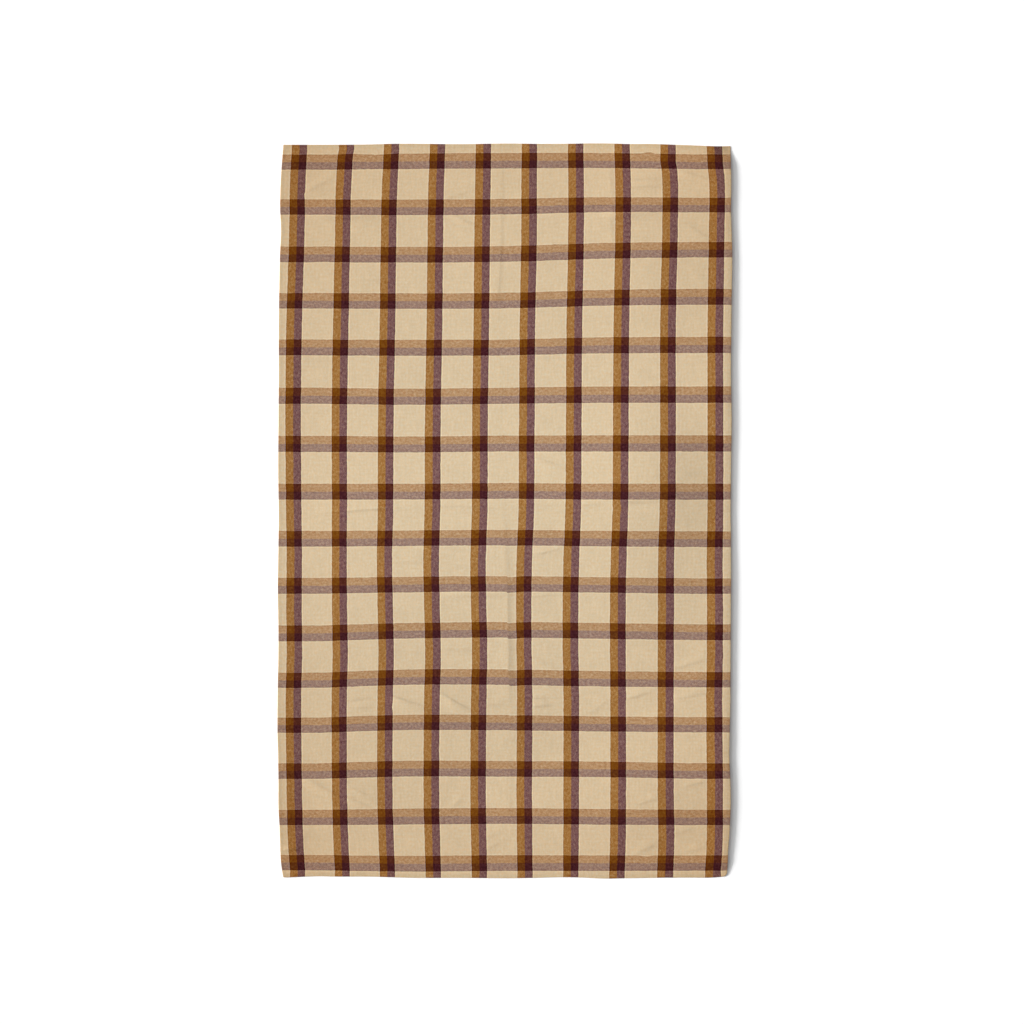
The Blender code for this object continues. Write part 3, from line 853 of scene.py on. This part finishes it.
def make_stitches():
    """The hem's stitches, in their groove on both faces of the cloth, joined in one mesh."""
    loop = ring(STITCH_INSET)
    closed = np.concatenate([loop, loop[:1]])
    lengths = np.hypot(*np.diff(closed, axis=0).T)
    reached = np.concatenate([[0], np.cumsum(lengths)])
    count = round(reached[-1] / STITCH_PITCH)
    places = np.arange(count) * reached[-1] / count
    x = np.interp(places, reached, closed[:, 0])
    y = np.interp(places, reached, closed[:, 1])
    ahead_x = np.interp(places + STITCH_PITCH / 2, reached, closed[:, 0])
    ahead_y = np.interp(places + STITCH_PITCH / 2, reached, closed[:, 1])
    turns = np.arctan2(ahead_y - y, ahead_x - x)
    low, high = heights(x, y, np.full(count, STITCH_INSET))
    shape, shape_faces = stitch_shape()
    points = []
    faces = []
    for level, sink in ((high, -STITCH_SINK), (low, STITCH_SINK)):
        for index in range(count):
            first = len(points)
            cos, sin = math.cos(turns[index]), math.sin(turns[index])
            z = level[index] + sink * STITCH_RADIUS
            for a, b, c in shape:
                points.append((x[index] + a * cos - b * sin, y[index] + a * sin + b * cos, z + c))
            faces += [tuple(first + i for i in face) for face in shape_faces]
    mesh = bpy.data.meshes.new("hem_stitching")
    mesh.from_pydata(points, [], faces)
    mesh.shade_smooth()
    mesh.update()
    stitching = bpy.data.objects.new("hem_stitching", mesh)
    bpy.context.scene.collection.objects.link(stitching)
    return stitching


class Graph:
    """A material's nodes, added by calls that read as sums do."""

    def __init__(self, name):
        self.material = bpy.data.materials.new(name)
        self.material.use_nodes = True
        self.tree = self.material.node_tree
        self.shader = self.tree.nodes["Principled BSDF"]

    def feed(self, socket, value):
        if isinstance(value, bpy.types.NodeSocket):
            self.tree.links.new(value, socket)
        else:
            socket.default_value = value

    def add(self, kind, **settings):
        node = self.tree.nodes.new(kind)
        for name, setting in settings.items():
            setattr(node, name, setting)
        return node

    def math(self, operation, *values):
        node = self.add("ShaderNodeMath", operation=operation)
        for socket, value in zip(node.inputs, values):
            self.feed(socket, value)
        return node.outputs[0]

    def plus(self, *values):
        total = values[0]
        for value in values[1:]:
            total = self.math("ADD", total, value)
        return total

    def times(self, *values):
        total = values[0]
        for value in values[1:]:
            total = self.math("MULTIPLY", total, value)
        return total

    def scaled(self, vector, factor):
        node = self.add("ShaderNodeVectorMath", operation="SCALE")
        self.feed(node.inputs[0], vector)
        self.feed(node.inputs["Scale"], factor)
        return node.outputs[0]

    def added(self, first, second):
        node = self.add("ShaderNodeVectorMath", operation="ADD")
        self.feed(node.inputs[0], first)
        self.feed(node.inputs[1], second)
        return node.outputs[0]

    def noise(self, across, along, wave, detail=1.0):
        """Uneven values round 0, mostly within 0.5 of it."""
        place = self.add("ShaderNodeCombineXYZ")
        self.feed(place.inputs[0], self.math("DIVIDE", across, wave.across))
        self.feed(place.inputs[1], self.math("DIVIDE", along, wave.along))
        place.inputs[2].default_value = wave.seed
        texture = self.add("ShaderNodeTexNoise")
        self.feed(texture.inputs["Vector"], place.outputs[0])
        texture.inputs["Scale"].default_value = 1.0
        texture.inputs["Detail"].default_value = detail
        return self.math("SUBTRACT", texture.outputs["Fac"], 0.5)


def bands(graph, place):
    """How much mustard and plum the yarns hold at places that run across them."""
    start = MM * DYES[0].start_mm
    turn = graph.math("FRACT", graph.math("DIVIDE", graph.plus(place, -start), PITCH))
    into_pair = graph.plus(graph.times(turn, PITCH), start)
    mustard = DYES[0].mustard
    plum = DYES[0].plum
    for before, dye in zip(DYES, DYES[1:]):
        past = graph.math("GREATER_THAN", into_pair, MM * dye.start_mm)
        mustard = graph.plus(mustard, graph.times(past, dye.mustard - before.mustard))
        plum = graph.plus(plum, graph.times(past, dye.plum - before.plum))
    return mustard, plum


def dyed(graph, leaves, deeper, amount, crossing):
    """The logarithm of what an amount of dyed yarn leaves of the cream, by channel."""
    plain = [math.log(share) for share in leaves]
    extra = [math.log(share) * more for share, more in zip(leaves, deeper)]
    beneath = graph.scaled(extra, graph.times(amount, crossing))
    return graph.added(graph.scaled(plain, amount), beneath)


def woven_material():
    """Plain-woven yarn: each crossing shows the yarn on top, over the tint of the one below."""
    graph = Graph("woven_check")
    uv = graph.add("ShaderNodeUVMap", uv_map="Woven")
    split = graph.add("ShaderNodeSeparateXYZ")
    graph.feed(split.inputs[0], uv.outputs[0])
    u, v = split.outputs[0], split.outputs[1]
    sway_u = graph.times(graph.noise(u, v, WARP_SWAY), SWAY)
    sway_v = graph.times(graph.noise(u, v, WEFT_SWAY), SWAY)
    fine_sway_u = graph.times(graph.noise(u, v, WARP_FINE_SWAY), FINE_SWAY)
    fine_sway_v = graph.times(graph.noise(u, v, WEFT_FINE_SWAY), FINE_SWAY)
    u = graph.plus(u, sway_u, fine_sway_u)
    v = graph.plus(v, sway_v, fine_sway_v)

    warp_wave = graph.math("SINE", graph.times(u, math.pi / YARN))
    weft_wave = graph.math("SINE", graph.times(v, math.pi / YARN))
    over = graph.math("ADD", graph.times(warp_wave, weft_wave, OVER_SHARPNESS), 0.5)
    over.node.use_clamp = True
    under = graph.math("SUBTRACT", 1.0, over)
    warp_round = graph.math("ABSOLUTE", warp_wave)
    weft_round = graph.math("ABSOLUTE", weft_wave)
    warp_top = graph.times(warp_round, graph.math("SQRT", weft_round), over)
    weft_top = graph.times(weft_round, graph.math("SQRT", warp_round), under)
    knuckle = graph.plus(warp_top, weft_top)

    warp_mustard, warp_plum = bands(graph, graph.plus(u, -FIRST_ACROSS))
    weft_mustard, weft_plum = bands(graph, graph.math("SUBTRACT", FIRST_ALONG, v))
    lean = graph.times(graph.plus(over, -0.5), 2 * THREAD_CONTRAST)
    warp_lean = graph.plus(lean, 1.0)
    weft_lean = graph.math("SUBTRACT", 1.0, lean)
    crossing = graph.times(graph.plus(warp_mustard, warp_plum), graph.plus(weft_mustard, weft_plum))
    uneven = graph.plus(graph.times(crossing, CROSSING_FLECK - 1), 1.0)
    warp_noise = graph.noise(u, v, WARP_FLECK_WAVE, TONE_DETAIL)
    weft_noise = graph.noise(u, v, WEFT_FLECK_WAVE, TONE_DETAIL)
    warp_fleck = graph.times(warp_noise, uneven, WARP_FLECK)
    weft_fleck = graph.times(weft_noise, uneven, WEFT_FLECK)
    tint = (0, 0, 0)
    for leaves, deeper, band, share, fleck, dye_fleck in (
        (MUSTARD_WARP, DEEPER_MUSTARD, warp_mustard, warp_lean, warp_fleck, 1.0),
        (PLUM_WARP, DEEPER_PLUM, warp_plum, warp_lean, warp_fleck, PLUM_FLECK),
        (MUSTARD_WEFT, DEEPER_MUSTARD, weft_mustard, weft_lean, weft_fleck, 1.0),
        (PLUM_WEFT, DEEPER_PLUM, weft_plum, weft_lean, weft_fleck, PLUM_FLECK),
    ):
        amount = graph.times(band, graph.plus(share, graph.times(fleck, dye_fleck)))
        tint = graph.added(tint, dyed(graph, leaves, deeper, amount, crossing))

    inset = graph.add("ShaderNodeAttribute", attribute_name="inset")
    in_hem = graph.math("LESS_THAN", inset.outputs["Fac"], HEM_WIDTH)
    warp_slub = graph.noise(u, v, WARP_SLUBS.wave, TONE_DETAIL)
    weft_slub = graph.noise(u, v, WEFT_SLUBS.wave, TONE_DETAIL)
    tone = graph.plus(
        graph.times(warp_slub, WARP_SLUBS.depth),
        graph.times(weft_slub, WEFT_SLUBS.depth),
    )
    for each in TONES:
        uneven_tone = graph.noise(u, v, each.wave, TONE_DETAIL)
        tone = graph.plus(tone, graph.times(uneven_tone, each.depth))
    # Painted shade: the yarns' knuckles are painted paler and the gaps between them darker
    tone = graph.plus(
        tone,
        graph.times(graph.plus(knuckle, -KNUCKLE_MEAN), KNUCKLE_PAINTED_SHADE),
        graph.times(in_hem, HEM_TONE),
    )
    warmth = graph.times(graph.noise(u, v, WARMTH_WAVE, TONE_DETAIL), WARMTH_DEPTH)
    # Warmer from the middle towards the rim, more along the cloth than across it
    out_along = graph.math("POWER", graph.math("DIVIDE", v, LENGTH / 2), 2.0)
    out_across = graph.math("POWER", graph.math("DIVIDE", u, WIDTH / 2), 2.0)
    warming = graph.plus(out_along, graph.times(out_across, WARMING_ACROSS), WARMING_MIDDLE)
    # The corners are painted darker and warmer: painted shade where the light falls off towards them
    corners = graph.times(out_along, out_along, out_across, out_across)
    # Darker and yellower within RIM_WIDTH of the edge
    darker_rim = graph.math("SUBTRACT", 1.0, graph.math("DIVIDE", inset.outputs["Fac"], RIM_WIDTH))
    darker_rim.node.use_clamp = True
    parts = graph.add("ShaderNodeSeparateXYZ")
    graph.feed(parts.inputs[0], tint)
    colour = graph.add("ShaderNodeCombineColor")
    for index, cream in enumerate(CREAM):
        logarithm = graph.plus(
            parts.outputs[index],
            tone,
            graph.times(warmth, WARMTH[index]),
            graph.times(warming, OUTWARD_WARMING[index]),
            graph.times(darker_rim, RIM_DARKENING[index]),
            graph.times(corners, CORNER_PAINTED_SHADE[index]),
        )
        graph.feed(colour.inputs[index], graph.times(graph.math("EXPONENT", logarithm), cream))
    graph.feed(graph.shader.inputs["Base Color"], colour.outputs[0])

    bump = graph.add("ShaderNodeBump")
    bump.inputs["Strength"].default_value = BUMP_STRENGTH
    bump.inputs["Distance"].default_value = BUMP_DISTANCE
    warp_rise = graph.times(warp_slub, WARP_SLUB_RISE)
    weft_rise = graph.times(weft_slub, WEFT_SLUB_RISE)
    graph.feed(bump.inputs["Height"], graph.plus(knuckle, warp_rise, weft_rise))
    graph.feed(graph.shader.inputs["Normal"], bump.outputs[0])
    graph.shader.inputs["Roughness"].default_value = 0.95
    graph.shader.inputs["Specular IOR Level"].default_value = 0.04
    graph.shader.inputs["Sheen Weight"].default_value = 0.015
    graph.shader.inputs["Sheen Roughness"].default_value = 0.5
    return graph.material


def thread_material():
    graph = Graph("hem_thread")
    place = graph.add("ShaderNodeTexCoord").outputs["Object"]
    texture = graph.add("ShaderNodeTexNoise")
    graph.feed(texture.inputs["Vector"], place)
    texture.inputs["Scale"].default_value = THREAD_GRAIN
    texture.inputs["Detail"].default_value = 2
    factor = graph.plus(graph.times(texture.outputs["Fac"], THREAD_UNEVENNESS), THREAD_DARKEST)
    colour = graph.add("ShaderNodeCombineColor")
    for index, channel in enumerate(THREAD):
        graph.feed(colour.inputs[index], graph.times(factor, channel))
    graph.feed(graph.shader.inputs["Base Color"], colour.outputs[0])
    graph.shader.inputs["Roughness"].default_value = 0.75
    graph.shader.inputs["Specular IOR Level"].default_value = 0.3
    return graph.material


def aim(thing, direction):
    """Turns a lamp or camera to face along a direction, with +Y up in its view."""
    thing.rotation_mode = "QUATERNION"
    thing.rotation_quaternion = Vector(direction).to_track_quat("-Z", "Y")


def make_camera():
    data = bpy.data.cameras.new("camera")
    data.lens = FOCAL_LENGTH_MM
    data.sensor_width = SENSOR_MM
    camera = bpy.data.objects.new("camera", data)
    height = PICTURE_WIDTH * FOCAL_LENGTH_MM / SENSOR_MM
    camera.location = (CAMERA_ACROSS, CAMERA_ALONG, height)
    aim(camera, (0, 0, -1))
    bpy.context.scene.collection.objects.link(camera)
    bpy.context.scene.camera = camera


def add_sun(name, elevation_degrees, size_degrees, strength):
    data = bpy.data.lights.new(name, "SUN")
    data.energy = strength
    data.angle = math.radians(size_degrees)
    sun = bpy.data.objects.new(name, data)
    elevation = math.radians(elevation_degrees)
    turn = math.radians(LIGHT_TURN)
    level = math.cos(elevation)
    aim(sun, (level * math.cos(turn), -level * math.sin(turn), -math.sin(elevation)))
    bpy.context.scene.collection.objects.link(sun)


def make_lights():
    """Soft light from a window at the left, with some from above."""
    for window in WINDOWS:
        add_sun(*window)

    lamp_data = bpy.data.lights.new("soft_box", "AREA")
    lamp_data.shape = "SQUARE"
    lamp_data.size = LAMP_SIZE
    lamp_data.energy = LAMP_POWER
    lamp = bpy.data.objects.new("soft_box", lamp_data)
    lamp.location = (LAMP_ACROSS, LAMP_ALONG, LAMP_HEIGHT)
    lamp.visible_camera = False
    bpy.context.scene.collection.objects.link(lamp)

    world = bpy.data.worlds.new("room")
    world.use_nodes = True
    background = world.node_tree.nodes["Background"]
    background.inputs["Color"].default_value = (1, 1, 1, 1)
    background.inputs["Strength"].default_value = SKY_STRENGTH
    bpy.context.scene.world = world


def make_floor():
    half = FLOOR_SIZE / 2
    mesh = bpy.data.meshes.new("floor")
    corners = [(-half, -half), (half, -half), (half, half), (-half, half)]
    mesh.from_pydata([(x, y, FLOOR_LEVEL) for x, y in corners], [], [(0, 1, 2, 3)])
    floor = bpy.data.objects.new("floor", mesh)
    bpy.context.scene.collection.objects.link(floor)
    graph = Graph("white_floor")
    graph.shader.inputs["Base Color"].default_value = (FLOOR_WHITE, FLOOR_WHITE, FLOOR_WHITE, 1)
    graph.shader.inputs["Roughness"].default_value = 1.0
    graph.shader.inputs["Specular IOR Level"].default_value = 0.0
    graph.shader.inputs["Emission Color"].default_value = (1, 1, 1, 1)
    graph.shader.inputs["Emission Strength"].default_value = FLOOR_GLOW
    mesh.materials.append(graph.material)


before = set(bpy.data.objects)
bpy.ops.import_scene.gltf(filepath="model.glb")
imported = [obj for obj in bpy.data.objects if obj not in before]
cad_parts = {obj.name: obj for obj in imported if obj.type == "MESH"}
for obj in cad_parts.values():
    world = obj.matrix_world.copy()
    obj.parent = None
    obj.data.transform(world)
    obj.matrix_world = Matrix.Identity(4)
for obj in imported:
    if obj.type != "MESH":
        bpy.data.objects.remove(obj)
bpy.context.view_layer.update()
make_camera()
make_lights()
make_floor()
bpy.context.scene.view_settings.view_transform = "Standard"

cloth = make_cloth()
cloth.data.materials.append(woven_material())
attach(cloth, "root")
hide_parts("cloth")

stitching = make_stitches()
stitching.data.materials.append(thread_material())
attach(stitching, "root")
